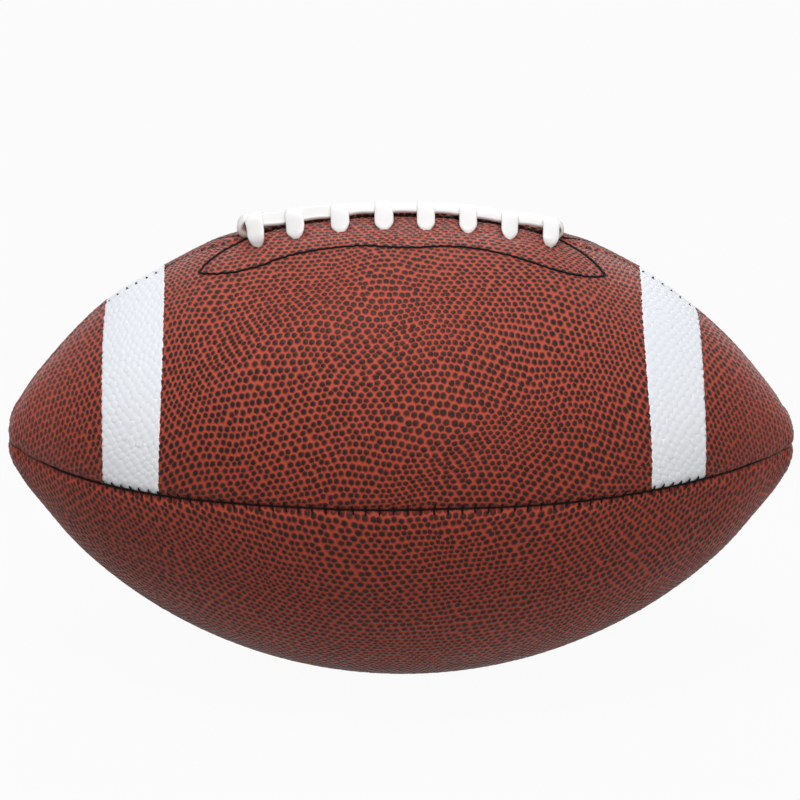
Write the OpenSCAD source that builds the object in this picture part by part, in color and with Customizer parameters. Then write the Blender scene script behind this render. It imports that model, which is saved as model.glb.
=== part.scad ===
/* American football: four sewn cover panels with linings, white stripes, a laced opening and an inflatable bladder.
   X runs along the ball and the lacing is on top (+Z). The ball lies at z = 0 under its middle. */

/* [Ball] */
// Length of the ball between its two noses
ball_length = 280; // [264:1:296]
// Radius of a panel's round section at mid-length, about the panel's own axis
panel_r = 79.8; // [76:0.2:84]
// Distance of each panel's own axis from the ball's axis, which makes the panels bulge between their seams
panel_offset = 5; // [3:0.5:7]
// Radius of each panel's rounded nose
nose_r = 18; // [14:0.5:22]
// How far the nose's circle stands out of the long arc where the two are nearest
nose_lead = 0.42; // [0.3:0.02:0.6]

/* [Cover] */
// Thickness of the pebbled cover
cover_t = 2.2; // [1.8:0.1:3]
// Thickness of the fabric lining behind each panel
lining_t = 1; // [0.6:0.1:1.6]
// Clearance between one layer and the next
layer_gap = 0.1; // [0.05:0.01:0.2]
// Gap between two panels where their edges meet
seam_gap = 0.2; // [0.1:0.05:0.4]
// Width of the groove along a seam
groove_w = 5; // [4:0.25:6.5]
// Depth of the groove along a seam
groove_d = 1.6; // [1.3:0.05:1.7]

/* [Stripes] */
// Where a stripe's middle lies between the lacing's end hole and the nose, as a share of that distance
stripe_place_share = 0.45; // [0.4:0.01:0.5]
// Width of a stripe along the ball's axis
stripe_w = 19.8; // [15:0.2:24]
// Thickness of a stripe
stripe_t = 0.5; // [0.3:0.05:0.8]
// Depth of a stripe's face below the cover around it
stripe_sink = 0.3; // [0:0.05:0.5]
// Clearance round a stripe in its recess
stripe_fit = 0.1; // [0.05:0.01:0.2]

/* [Crown] */
// How far the lacing draws the top seam in at mid-length
crown_drop = 1.04; // [0.8:0.02:1.4]
// Radius of the drawn-in crown along the ball
crown_arc_r = 207; // [195:1:230]
// Radius of the drawn-in crown across the ball
crown_section_r = 140; // [120:1:170]

/* [Lacing] */
// Number of cross laces
cross_count = 8; // [6:1:8]
// Distance from one cross lace to the next
cross_pitch = 14.9; // [13:0.1:15.2]
// Width of the lace
lace_w = 6; // [4.5:0.25:7]
// Thickness of the lace
lace_t = 1.2; // [0.8:0.1:1.6]
// Radius that the lengthwise lace is drawn to
lace_arc_r = 285; // [260:1:320]
// Height of the lengthwise lace's underside over the crown at mid-length
lace_lift = 2.3; // [1.6:0.1:3]
// Clearance between the cross laces and the lengthwise lace
lace_fit = 0.3; // [0.2:0.05:0.5]
// Clearance round a lace in its hole
hole_fit = 0.25; // [0.15:0.05:0.5]
// Distance of a cross lace's holes from the lacing seam
cross_reach = 14.3; // [12:0.1:16]
// Radius of a cross lace over the seam
cross_crown_r = 32; // [26:1:40]
// Radius of a cross lace where it turns down into its hole
cross_corner_r = 2.6; // [2:0.1:3.4]
// Distance of the lengthwise lace's end holes past the outer cross laces
end_gap = 6; // [5:0.25:7.5]
// Radius of the lengthwise lace where it turns down into its end holes
end_corner_r = 4; // [3:0.25:4.5]
// Length of the lengthwise lace's tails under the cover
tail_l = 9; // [6:0.5:12]
// Width of the opening between the two upper panels under the lacing
slit_w = 2.5; // [1.5:0.25:3.5]

/* [Facing] */
// Thickness of the lace facings sewn inside the two upper panels
facing_t = 1.4; // [1:0.1:2]
// Distance of a facing's shoulders from the middle of the ball
shoulder_x = 48; // [42:1:52]
// Radius of a facing's shoulders
shoulder_r = 32; // [29:0.5:34]
// Distance of the shoulders' centres beyond the lacing seam
shoulder_sink = 3; // [1:0.25:5]
// Width of a facing at its waist
waist_w = 26.5; // [24:0.25:28]
// Where a facing's slanted ends would meet the lacing seam, from the middle of the ball
wing_foot_x = 51; // [48:0.5:54]
// Angle of a facing's slanted ends to the lacing seam
wing_angle = 43; // [38:1:50]

/* [Lace guard] */
// Thickness of the guard between the lacing and the bladder
guard_t = 1.2; // [0.8:0.1:2]
// Length of the guard
guard_l = 140; // [136:1:150]
// Width of the guard
guard_w = 44; // [38:1:50]
// Corner radius of the guard
guard_corner_r = 8; // [4:1:12]

/* [Bladder] */
// Thickness of the rubber bladder
bladder_t = 0.9; // [0.6:0.1:1.5]
// Room round the facings and the guard in the bladder's pocket
pocket_fit = 3; // [2:0.5:5]

/* [Valve] */
// Angle of the valve from the lacing seam, on the rear panel
valve_angle = 32; // [28:1:40]
// Diameter of the valve's head in the cover
valve_head_d = 8; // [6.5:0.25:10]
// Depth of the valve's face below the cover
valve_sink = 0.3; // [0.1:0.05:0.6]
// Clearance round the valve's head
valve_fit = 0.2; // [0.1:0.05:0.4]
// Diameter of the valve's flange inside the bladder
flange_d = 24; // [18:1:30]
// Thickness of the valve's flange
flange_t = 1.5; // [1:0.1:2.5]
// Diameter of the valve's barrel inside the bladder
barrel_d = 10; // [9:0.25:13]
// Length of the valve's barrel past the flange
barrel_l = 10; // [8:0.5:14]
// Thickness of the barrel's floor
barrel_floor_t = 1.6; // [1:0.1:2.5]
// Diameter of the soft plug in the valve
plug_d = 4.4; // [3.5:0.1:5.5]
// Clearance round the plug
plug_fit = 0.05; // [0.02:0.01:0.1]
// Diameter of the needle's bore
needle_d = 2; // [1.5:0.1:2.5]

/* [Threads] */
// Diameter of the thread along a seam
thread_d = 0.7; // [0.5:0.05:0.8]
// Width and height of the stitches across a seam
stitch_t = 0.6; // [0.4:0.05:0.7]
// Distance from one stitch to the next along a seam
stitch_pitch = 4.7; // [4:0.1:7]
// Clearance between the stitches and the sides of a groove
stitch_fit = 0.1; // [0.05:0.01:0.2]
// Distance of the last stitches from the ball's noses
stitch_end_gap = 7; // [5:0.5:15]
// Distance of the top seams' first stitches past the end of the lacing
stitch_start_gap = 5; // [3:0.5:8]
// Height of a facing's stitch line over the cover
facing_thread_h = 0.4; // [0.3:0.05:0.6]
// Clearance under a facing's stitch line
facing_thread_fit = 0.05; // [0.02:0.01:0.1]

/* [Hidden] */

$fn = 128;
thread_fn = 24;

// Profile of a panel: a long arc, ended by the nose's circle
half_length = ball_length / 2;
nose_x = half_length - nose_r;
arc_r = (pow(nose_x, 2) + pow(panel_r, 2) - pow(nose_r - nose_lead, 2)) / (2 * (panel_r - nose_r + nose_lead));
arc_drop = arc_r - panel_r;
nose_angle = atan2(arc_drop, nose_x);

// Places across the ball, from its axis
axis_shift = panel_offset * cos(45);
seam_r = panel_r + axis_shift;
axis_h = seam_r;
crown_h = seam_r - crown_drop;

// Depths of the layers under the cover's face
lining_depth = cover_t + layer_gap;
facing_depth = lining_depth + lining_t + layer_gap;
run_depth = facing_depth + facing_t + layer_gap;
guard_depth = run_depth + lace_t + layer_gap;
pocket_depth = guard_depth + guard_t + layer_gap;
bladder_depth = facing_depth;

// Lacing, measured from the middle of the lace's thickness
lace_mid_h = crown_h + lace_lift + lace_t / 2;
lacing_centre_h = lace_mid_h - lace_arc_r;
cross_over = lace_t + lace_fit;
outer_cross_x = (cross_count - 1) / 2 * cross_pitch;
end_x = outer_cross_x + end_gap;
stripe_x = end_x + stripe_place_share * (half_length - end_x) - stripe_w / 2;
// Height of the lace's hidden runs under its middle, so that the runs meet the tilted legs
run_drop = lace_lift + run_depth + lace_t + cross_corner_r;
run_margin = lace_t / 4;
corner_lead = lace_t / 24;
tail_w = lace_w + 2 * run_margin;

// Seam stitches: the thread lies in the groove, and each stitch rests on its two sides
stitch_overlap_share = 0.4;
bead_depth = thread_d / 2 + stitch_t * (1 - stitch_overlap_share);
stitch_l = groove_w * (1 - stitch_t / groove_d) - 2 * stitch_fit;
stitch_turn = stitch_t / arc_r * 180 / PI;
stitch_start_x = end_x + stitch_start_gap;
stitch_end_x = half_length - stitch_end_gap;

// Valve, measured along its own axis from the panel's axis
flange_depth = bladder_depth + bladder_t + layer_gap;
barrel_end_h = panel_r - flange_depth - flange_t - barrel_l;
plug_seat_h = barrel_end_h + barrel_floor_t;
plug_top_h = panel_r - valve_sink - valve_fit;

// Long enough to pass right through the ball
reach = 2 * ball_length;
overrun = cover_t;

cover_colour = [0.5, 0.21, 0.15];
stripe_colour = [0.93, 0.95, 0.97];
lace_colour = [0.96, 0.95, 0.94];
thread_colour = [0.07, 0.06, 0.06];
lining_colour = [0.78, 0.74, 0.66];
facing_colour = [0.62, 0.45, 0.3];
rubber_colour = [0.12, 0.12, 0.13];

module lift() {
    translate([0, 0, axis_h]) children();
}

// Panels are drawn as the upper front one and turned or mirrored to their places
module rear() {
    mirror([0, 1, 0]) children();
}

module lower_front() {
    rotate([90, 0, 0]) children();
}

module lower_rear() {
    rotate([180, 0, 0]) children();
}

// A panel's profile at a depth below the cover's face, with the radius along x
module profile(depth) {
    nose_cut_y = nose_x + (nose_r - depth) * cos(nose_angle);
    difference() {
        intersection() {
            translate([-arc_drop, 0]) circle(arc_r - depth);
            translate([0, -reach]) square([reach, 2 * reach]);
        }
        for (turn = [0, 1]) mirror([0, turn]) difference() {
            translate([-overrun, nose_cut_y]) square([reach, reach]);
            translate([0, nose_x]) circle(nose_r - depth);
        }
    }
}

module spindle(depth) {
    translate([0, -axis_shift, axis_shift])
        rotate([0, 90, 0])
            rotate_extrude() profile(depth);
}

// The gentle crown that the lacing draws the upper panels to
module crown(depth) {
    translate([0, 0, crown_h - crown_section_r])
        rotate([0, 90, 0])
            rotate_extrude()
                intersection() {
                    translate([crown_section_r - crown_arc_r, 0]) circle(crown_arc_r - depth);
                    translate([0, -reach]) square([reach, 2 * reach]);
                }
}

module lobe(depth, laced) {
    if (laced) intersection() {
        spindle(depth);
        crown(depth);
    }
    else spindle(depth);
}

// The quarter of space that a panel fills, less half of the gap at each seam
module quarter(gap) {
    translate([-reach / 2, -gap / 2 - reach, gap / 2]) cube([reach, reach, reach]);
}

module layer(depth, thickness, laced, gap = seam_gap) {
    difference() {
        intersection() {
            lobe(depth, laced);
            quarter(gap);
        }
        lobe(depth + thickness, laced);
    }
}

// Both upper quarters of a layer, joined at the lacing seam
module bridge(depth, thickness) {
    layer(depth, thickness, true, 0);
    rear() layer(depth, thickness, true, 0);
}

module upper_form(depth) {
    lobe(depth, true);
    rear() lobe(depth, true);
}

module whole_form(depth) {
    upper_form(depth);
    lower_front() lobe(depth, false);
    lower_rear() lobe(depth, false);
}

// A V-shaped ring along the top seam
module groove() {
    open_share = (groove_d + overrun) / groove_d;
    translate([0, 0, seam_r - arc_r])
        rotate([90, 0, 0])
            rotate_extrude()
                polygon([
                    [arc_r - groove_d, 0],
                    [arc_r + overrun, -groove_w / 2 * open_share],
                    [arc_r + overrun, groove_w / 2 * open_share]
                ]);
}

module grooves() {
    groove();
    lower_front() groove();
}

module stripe_slab(side, fit) {
    start_x = side < 0 ? -stripe_x - stripe_w : stripe_x;
    translate([start_x - fit, -reach / 2, -reach / 2])
        cube([stripe_w + 2 * fit, reach, reach]);
}

module stripe_recess(side) {
    intersection() {
        stripe_slab(side, stripe_fit);
        difference() {
            spindle(-overrun);
            spindle(stripe_sink + stripe_t + stripe_fit);
        }
    }
}

function cross_angle(i) = asin((i * cross_pitch - outer_cross_x) / lace_arc_r);

// Puts a thing on the middle of cross lace i, square to the lengthwise lace
module at_cross(i) {
    translate([0, 0, lacing_centre_h])
        rotate([0, cross_angle(i), 0])
            translate([0, 0, lace_arc_r + cross_over])
                children();
}

module lace_holes() {
    cross_hole = [lace_w + 2 * hole_fit, lace_t + 2 * hole_fit, panel_r];
    end_hole = [lace_t + 2 * hole_fit, lace_w + 2 * hole_fit, panel_r];
    for (i = [0 : cross_count - 1]) at_cross(i) {
        for (side = [-1, 1]) translate([0, side * cross_reach, -panel_r / 2]) cube(cross_hole, center = true);
    }
    for (side = [-1, 1]) translate([side * end_x, 0, crown_h]) cube(end_hole, center = true);
    translate([0, 0, crown_h]) cube([2 * end_x, slit_w, panel_r], center = true);
}

// One shape of a lace from the side: over the top, round two corners and down two legs
module band(span, crown_radius, corner_radius, leg) {
    difference() {
        band_outline(span, crown_radius, corner_radius, leg, lace_t / 2);
        band_outline(span, crown_radius, corner_radius, leg + lace_t, -lace_t / 2);
    }
}

// Everything under a band's face, with each corner's circle standing a little out of the crown
module band_outline(span, crown_radius, corner_radius, leg, grow) {
    bend = asin((span - corner_radius) / (crown_radius - corner_radius));
    corner_x = span - corner_radius;
    corner_y = (crown_radius - corner_radius) * cos(bend) - crown_radius + corner_lead;
    foot_y = corner_y - leg;
    top_x = corner_x - corner_y * tan(bend);
    intersection() {
        translate([0, -crown_radius]) circle(crown_radius + grow);
        union() {
            for (side = [-1, 1]) translate([side * corner_x, corner_y]) circle(corner_radius + grow);
            translate([-span - grow, foot_y]) square([2 * (span + grow), leg]);
            polygon([
                [-corner_x, foot_y],
                [corner_x, foot_y],
                [corner_x, corner_y],
                [top_x + lace_t * tan(bend), lace_t],
                [-top_x - lace_t * tan(bend), lace_t],
                [-corner_x, corner_y]
            ]);
        }
    }
}

// Half of a facing's outline, seen from above: round shoulders, a narrower waist and slanted ends
module facing_half(grow) {
    shoulder_w = shoulder_r - shoulder_sink;
    waist_rise = shoulder_w - waist_w;
    waist_r = (pow(shoulder_x, 2) + pow(waist_rise, 2)) / (2 * waist_rise);
    foot_x = wing_foot_x + grow / sin(wing_angle);
    top_x = foot_x + shoulder_r / tan(wing_angle);
    difference() {
        intersection() {
            union() {
                for (side = [-1, 1]) translate([side * shoulder_x, -shoulder_sink]) circle(shoulder_r + grow);
                translate([-shoulder_x, 0]) square([2 * shoulder_x, shoulder_w + grow]);
            }
            polygon([[-foot_x, 0], [foot_x, 0], [top_x, shoulder_r], [-top_x, shoulder_r]]);
        }
        translate([0, waist_w + waist_r]) circle(waist_r - grow);
    }
}

module facing_plan(grow) {
    facing_half(grow);
    mirror([0, 1]) facing_half(grow);
}

module guard_plan(grow) {
    inner_l = guard_l - 2 * guard_corner_r;
    inner_w = guard_w - 2 * guard_corner_r;
    square([inner_l, guard_w + 2 * grow], center = true);
    square([guard_l + 2 * grow, inner_w], center = true);
    for (x = [-1, 1], y = [-1, 1]) translate([x * inner_l / 2, y * inner_w / 2]) circle(guard_corner_r + grow);
}

module upper_panel() {
    difference() {
        layer(0, cover_t, true);
        grooves();
        stripe_recess(-1);
        stripe_recess(1);
        lace_holes();
    }
}

module lower_panel() {
    difference() {
        layer(0, cover_t, false);
        grooves();
    }
}

module upper_lining() {
    difference() {
        layer(lining_depth, lining_t, true);
        lace_holes();
    }
}

module stripe(side) {
    difference() {
        intersection() {
            layer(stripe_sink, stripe_t, false);
            stripe_slab(side, 0);
        }
        grooves();
    }
}

module lace_facing() {
    difference() {
        intersection() {
            layer(facing_depth, facing_t, true);
            linear_extrude(reach) facing_plan(0);
        }
        lace_holes();
    }
}

// A hidden run of the cross lace from hole i to the next, under the front facing
module cross_run(i) {
    share_down = (lace_arc_r - run_drop) / lace_arc_r;
    from_x = (i * cross_pitch - outer_cross_x) * share_down - lace_w / 2 - run_margin;
    run_l = cross_pitch * share_down + lace_w + 2 * run_margin;
    intersection() {
        layer(run_depth, lace_t, true);
        translate([from_x, -cross_reach - lace_w / 2, 0]) cube([run_l, lace_w, reach]);
    }
}

module facing_thread() {
    intersection() {
        layer(-facing_thread_fit - facing_thread_h, facing_thread_h, true);
        linear_extrude(reach) difference() {
            facing_plan(thread_d / 2);
            facing_plan(-thread_d / 2);
        }
    }
}

// Thread along the top seam from one distance to another, with a stitch across the groove at every pitch
module seam_thread(from_x, to_x) {
    from_angle = asin(from_x / arc_r);
    to_angle = asin(to_x / arc_r);
    count = floor((to_angle - from_angle) * PI / 180 * arc_r / stitch_pitch);
    step = (to_angle - from_angle) / count;
    translate([0, 0, seam_r - arc_r])
        rotate([90, 0, 0]) {
            rotate_extrude(angle = to_angle - from_angle, start = 90 - to_angle)
                translate([arc_r - bead_depth, 0]) circle(d = thread_d, $fn = thread_fn);
            for (k = [0 : count - 1])
                rotate_extrude(angle = stitch_turn, start = 90 - to_angle + (k + 1 / 2) * step - stitch_turn / 2)
                    translate([arc_r - stitch_t, -stitch_l / 2]) square([stitch_t, stitch_l]);
        }
}

// The valve's own line on the upper rear panel, with z outwards and zero on the panel's axis
module on_valve_line() {
    translate([0, axis_shift, axis_shift]) rotate([-valve_angle, 0, 0]) children();
}

module valve_hole(fit) {
    on_valve_line() cylinder(d = valve_head_d + 2 * fit, h = reach);
}

module upper_front_panel() {
    color(cover_colour) lift() upper_panel();
}

module upper_rear_panel() {
    color(cover_colour) lift() difference() {
        rear() upper_panel();
        valve_hole(valve_fit);
    }
}

module lower_front_panel() {
    color(cover_colour) lift() lower_front() lower_panel();
}

module lower_rear_panel() {
    color(cover_colour) lift() lower_rear() lower_panel();
}

module upper_front_lining() {
    color(lining_colour) lift() upper_lining();
}

module upper_rear_lining() {
    color(lining_colour) lift() difference() {
        rear() upper_lining();
        valve_hole(valve_fit);
    }
}

module lower_front_lining() {
    color(lining_colour) lift() lower_front() layer(lining_depth, lining_t, false);
}

module lower_rear_lining() {
    color(lining_colour) lift() lower_rear() layer(lining_depth, lining_t, false);
}

module left_front_stripe() {
    color(stripe_colour) lift() stripe(-1);
}

module right_front_stripe() {
    color(stripe_colour) lift() stripe(1);
}

module left_rear_stripe() {
    color(stripe_colour) lift() rear() stripe(-1);
}

module right_rear_stripe() {
    color(stripe_colour) lift() rear() stripe(1);
}

module front_lace_facing() {
    color(facing_colour) lift() lace_facing();
}

module rear_lace_facing() {
    color(facing_colour) lift() rear() lace_facing();
}

module lace_guard() {
    color(facing_colour) lift() intersection() {
        bridge(guard_depth, guard_t);
        linear_extrude(reach) guard_plan(0);
    }
}

// One long lace: over the seam, down a hole, along inside and up the next hole
module cross_lace() {
    color(lace_colour) lift() {
        difference() {
            for (i = [0 : cross_count - 1])
                at_cross(i)
                    rotate([90, 0, 90])
                        linear_extrude(lace_w, center = true)
                            band(cross_reach, cross_crown_r, cross_corner_r, panel_r / 4);
            upper_form(run_depth + lace_t / 2);
        }
        for (i = [0 : 2 : cross_count - 2]) cross_run(i);
        for (i = [1 : 2 : cross_count - 2]) rear() cross_run(i);
    }
}

module lengthwise_lace() {
    color(lace_colour) lift() {
        difference() {
            translate([0, 0, lace_mid_h])
                rotate([90, 0, 0])
                    linear_extrude(lace_w, center = true)
                        band(end_x, lace_arc_r, end_corner_r, panel_r / 4);
            upper_form(run_depth + lace_t / 2);
        }
        for (turn = [0, 1]) mirror([turn, 0, 0]) intersection() {
            bridge(run_depth, lace_t);
            translate([end_x - lace_t, -tail_w / 2, 0]) cube([tail_l, tail_w, reach]);
        }
    }
}

// The bladder fills the lining, with a pocket under the lacing for the facings and the guard
module bladder_form(wall) {
    difference() {
        whole_form(bladder_depth + wall);
        difference() {
            linear_extrude(reach) {
                facing_plan(pocket_fit + wall);
                guard_plan(pocket_fit + wall);
            }
            upper_form(pocket_depth + wall);
        }
    }
}

module bladder() {
    color(rubber_colour) lift() difference() {
        bladder_form(0);
        bladder_form(bladder_t);
        valve_hole(layer_gap);
    }
}

module valve_housing() {
    color(rubber_colour) lift() difference() {
        union() {
            intersection() {
                on_valve_line() cylinder(d = valve_head_d, h = reach);
                difference() {
                    rear() spindle(valve_sink);
                    rear() spindle(flange_depth + flange_t / 2);
                }
            }
            intersection() {
                on_valve_line() cylinder(d = flange_d, h = reach);
                rear() difference() {
                    spindle(flange_depth);
                    spindle(flange_depth + flange_t);
                }
            }
            on_valve_line()
                translate([0, 0, barrel_end_h]) cylinder(d = barrel_d, h = barrel_l + flange_t / 2);
        }
        on_valve_line() {
            translate([0, 0, plug_seat_h]) cylinder(d = plug_d + 2 * plug_fit, h = reach);
            cylinder(d = needle_d, h = reach);
        }
    }
}

module valve_plug() {
    plug_foot_h = plug_seat_h + plug_fit;
    color("dimgray") lift() on_valve_line() difference() {
        translate([0, 0, plug_foot_h]) cylinder(d = plug_d, h = plug_top_h - plug_foot_h);
        cylinder(d = needle_d, h = reach);
    }
}

module front_seam_thread() {
    color(thread_colour) lift() rotate([90, 0, 0]) seam_thread(-stitch_end_x, stitch_end_x);
}

module rear_seam_thread() {
    color(thread_colour) lift() rotate([-90, 0, 0]) seam_thread(-stitch_end_x, stitch_end_x);
}

module bottom_seam_thread() {
    color(thread_colour) lift() rotate([180, 0, 0]) seam_thread(-stitch_end_x, stitch_end_x);
}

module top_left_seam_thread() {
    color(thread_colour) lift() seam_thread(-stitch_end_x, -stitch_start_x);
}

module top_right_seam_thread() {
    color(thread_colour) lift() seam_thread(stitch_start_x, stitch_end_x);
}

module front_facing_thread() {
    color(thread_colour) lift() facing_thread();
}

module rear_facing_thread() {
    color(thread_colour) lift() rear() facing_thread();
}

upper_front_panel();
upper_rear_panel();
lower_front_panel();
lower_rear_panel();
upper_front_lining();
upper_rear_lining();
lower_front_lining();
lower_rear_lining();
left_front_stripe();
right_front_stripe();
left_rear_stripe();
right_rear_stripe();
front_lace_facing();
rear_lace_facing();
lace_guard();
cross_lace();
lengthwise_lace();
bladder();
valve_housing();
valve_plug();
front_seam_thread();
rear_seam_thread();
bottom_seam_thread();
top_left_seam_thread();
top_right_seam_thread();
front_facing_thread();
rear_facing_thread();
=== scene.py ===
import math

import bmesh
import bpy
import numpy as np
from mathutils import Matrix, Vector


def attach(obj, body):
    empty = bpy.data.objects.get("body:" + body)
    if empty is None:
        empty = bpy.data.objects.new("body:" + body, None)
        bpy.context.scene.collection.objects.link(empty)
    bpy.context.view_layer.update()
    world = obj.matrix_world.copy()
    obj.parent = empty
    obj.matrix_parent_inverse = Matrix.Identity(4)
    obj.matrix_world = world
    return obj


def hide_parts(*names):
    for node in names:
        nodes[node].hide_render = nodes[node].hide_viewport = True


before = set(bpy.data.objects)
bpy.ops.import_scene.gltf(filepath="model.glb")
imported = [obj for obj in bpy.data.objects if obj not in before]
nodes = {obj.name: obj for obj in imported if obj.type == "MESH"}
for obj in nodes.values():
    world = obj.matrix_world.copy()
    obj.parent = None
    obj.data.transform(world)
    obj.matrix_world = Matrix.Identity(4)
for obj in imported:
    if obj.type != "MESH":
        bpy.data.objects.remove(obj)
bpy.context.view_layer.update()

# Sizes in millimetres, as in the part's source. Heights count from the ball's axis.
MM = 0.001
ROOT2 = math.sqrt(2)
HALF_L = 140.0
PANEL_R = 79.8
OFFSET = 5.0  # from the ball's axis out to a panel's own
NOSE_R = 18.0
NOSE_LEAD = 0.42
NOSE_X = HALF_L - NOSE_R
ARC_R = (NOSE_X**2 + PANEL_R**2 - (NOSE_R - NOSE_LEAD) ** 2) / (2 * (PANEL_R - NOSE_R + NOSE_LEAD))
ARC_DROP = ARC_R - PANEL_R
NOSE_CUT = NOSE_X + NOSE_R * math.cos(math.atan2(ARC_DROP, NOSE_X))
SHIFT = OFFSET / ROOT2
SEAM_R = PANEL_R + SHIFT
AXIS_H = SEAM_R
AXIS = Vector((0, 0, AXIS_H))

# The flattened field under the lacing
CROWN_DROP = 1.04
CROWN_H = SEAM_R - CROWN_DROP
CROWN_ARC_R = 207.0
CROWN_SECTION_R = 140.0
CROWN_BLEND = 0.5

# Stripes, laces and valve
STRIPE_X = 85.08
STRIPE_W = 19.8
STRIPE_SHEET = (88.0, 120.0)  # along the flat cover, with room to cut
PITCH = 14.9
CROSSES = 8
CROSS_Y = 14.3
CROSS_XS = [(k - (CROSSES - 1) / 2) * PITCH for k in range(CROSSES)]
END_GAP = 6.0
END_X = (CROSSES - 1) / 2 * PITCH + END_GAP
LACE_ARC_R = 285.0
STRAP_GAP, STRAP_HALF_T = 2.3, 0.6
LACE_MID_H = CROWN_H + STRAP_GAP + STRAP_HALF_T
VALVE_ANGLE = math.radians(32)
VALVE_HOLE_R = 4.2

# Seams: the rolled edges, the gap between them, and the stitches
ROLL_W = 3.4
ROLL_DEPTH = 1.55
SEAM_GAP = 0.12
STITCH = 4.7
STITCH_TIP = 3.9
BARE_TIP, BARE_LACED = 7.0, 5.0  # no seam stitches at the tips and beside the lacing's ends
STITCH_END = HALF_L - BARE_TIP
TOP_SEAM_X = END_X + BARE_LACED
FACING_STITCH = 2.6

# Pebbles: their spacing, its unevenness as a share of it, and their height
ROW = 0.866  # from row to row, as a share of the spacing
COVER_PEBBLES = (2.52, 0.095, 0.42)
STRIPE_PEBBLES = (2.7, 0.13, 0.13)
SHOULDER, SHOULDER_RISE = 0.74, 0.66
CAP = 0.44
PEBBLE_SINK = 1.05  # of the cap's height
SIZE_SPREAD = 0.1
COAT_SINK = 0.12
COVER_SKIRT, COAT_SKIRT = 2.2, 1.2

# How a real ball differs from the even one, as bumps along it: height (degrees round the
# axis for the seam, otherwise millimetres), middle and width
FRONT_SEAM_BUMPS = ((-0.45, 15, 30), (0.25, -30, 40))
STRIPE_BOWS = ((1.2, -86, 9), (-1.0, -70, 9), (-0.6, -107, 10), (-2.5, 84, 20))
LEFT_SHOULDER, RIGHT_SHOULDER = (1.6, -106, 16), (1.1, 86, 16)

# The meridian of a plain ball of revolution that the flat cover is laid on
# before it takes the panels' shape
BASE_DROP = 84.3
BASE_END = 139.3
BASE_NOSE_R = (ARC_R**2 - BASE_END**2 - BASE_DROP**2) / (2 * (ARC_R - BASE_END))
BASE_NOSE_X = BASE_END - BASE_NOSE_R
BASE_TURN = math.atan2(BASE_NOSE_X, BASE_DROP)
BASE_ARC = ARC_R * BASE_TURN
SHEET_END = BASE_ARC + BASE_NOSE_R * (math.pi / 2 - BASE_TURN)
SHEET_HALF_W = 80.0


def smooth_min(a, b, k):
    h = np.clip(0.5 + 0.5 * (b - a) / k, 0, 1)
    return b + (a - b) * h - k * h * (1 - h)


def step(lo, hi, v):
    t = np.clip((v - lo) / (hi - lo), 0, 1)
    return t * t * (3 - 2 * t)


def bell(v, middle, width):
    """A smooth bump of height 1."""
    return np.exp(-(((v - middle) / width) ** 2))


def bumps(v, *table):
    """The sum of bumps, each given by its height, middle and width."""
    return sum(height * bell(v, middle, width) for height, middle, width in table)


def edge_wave(hoop):
    """The wave of the stripes' edges round the ball, about one to a pebble."""
    return np.sin(2.49 * hoop + 1.5 * np.sin(0.8 * hoop))


def wave(u, v, seed, size):
    """A smooth, repeatable unevenness of about plus or minus 1."""
    rng = np.random.default_rng(seed)
    total, terms, peak = 0, 5, 2.2
    for _ in range(terms):
        a, p, s = rng.uniform(0, 2 * math.pi), rng.uniform(0, 2 * math.pi), rng.uniform(0.7, 1.4)
        total = total + np.sin((u * math.cos(a) + v * math.sin(a)) * 2 * math.pi / (size * s) + p)
    return total / peak


def settle(p):
    """The small unevenness of a real ball, for points round its axis.

    Its front seam runs lower towards the left end, and its top seam further
    back beyond the lacing. Its stripes bow, and its noses are a little slim.
    """
    x, y, z = p[:, 0], p[:, 1], p[:, 2]
    # phi counts from the top, and its front is positive
    phi, r = np.arctan2(-y, z), np.hypot(y, z)

    def near(middle, width):
        """1 in the middle of a band of directions, falling to 0 at its edges."""
        return np.clip(1 - ((phi - middle) / width) ** 2, 0, 1) ** 2

    # the seams, in degrees round the axis
    low_left, low_tip, back_left, back_right = 8, 1, 9, 10
    front = low_left * np.clip((-30 - x) / 110, 0, 1) ** 1.6
    front = front + low_tip * np.clip((-112 - x) / 25, 0, 1)
    front = np.radians(front + bumps(x, *FRONT_SEAM_BUMPS))
    top = -np.radians(back_left * step(-58, -80, x) + back_right * step(58, 82, x))
    # the top seam's shift fades out sooner on the front, whose stitch line stays
    top = top * near(-0.1, np.where(phi > -0.1, 0.46, 0.85))
    # the stripes' edges, along the ball
    bow = bumps(x, *STRIPE_BOWS) * near(0.55, 0.95)
    ripple, ripple_w = 0.16, 1.4
    edges = ((ripple, at, ripple_w) for at in (STRIPE_X, STRIPE_X + STRIPE_W))
    bow = bow + bumps(np.abs(x), *edges) * edge_wave(phi * r)
    phi = phi + front * near(math.pi / 2, 1.3) + top
    # a hollow beside the lacing
    hollow = 1.5
    r = r - hollow * near(-0.35, 0.3) * (1 - step(50, 68, np.abs(x)))
    x = x + bow
    # the noses' ends
    pull, more_left = 1.0, 0.5
    pull = pull + more_left * near(0.5, 1.1) * (x < 0)
    x = x - np.sign(x) * pull * bell(r, 12, 6) * (np.abs(x) > 110)
    # the noses' girth, and the fuller parts above the stripes
    slim, below = bumps(np.abs(x), (0.9, 129, 8)), bumps(np.abs(x), (0.5, 125, 9))
    slim = slim + below * step(1.7, 2.4, np.abs(phi))
    slim = slim * (1 - 0.75 * near(-0.2, 1.2) * (x < 0))
    r = r - np.minimum(slim, 0.06 * r) + bumps(x, LEFT_SHOULDER) * near(-0.2, 0.8)
    r = r + bumps(x, RIGHT_SHOULDER) * near(-0.3, 0.6)
    return np.stack([x, -r * np.sin(phi), r * np.cos(phi)], -1)


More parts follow.
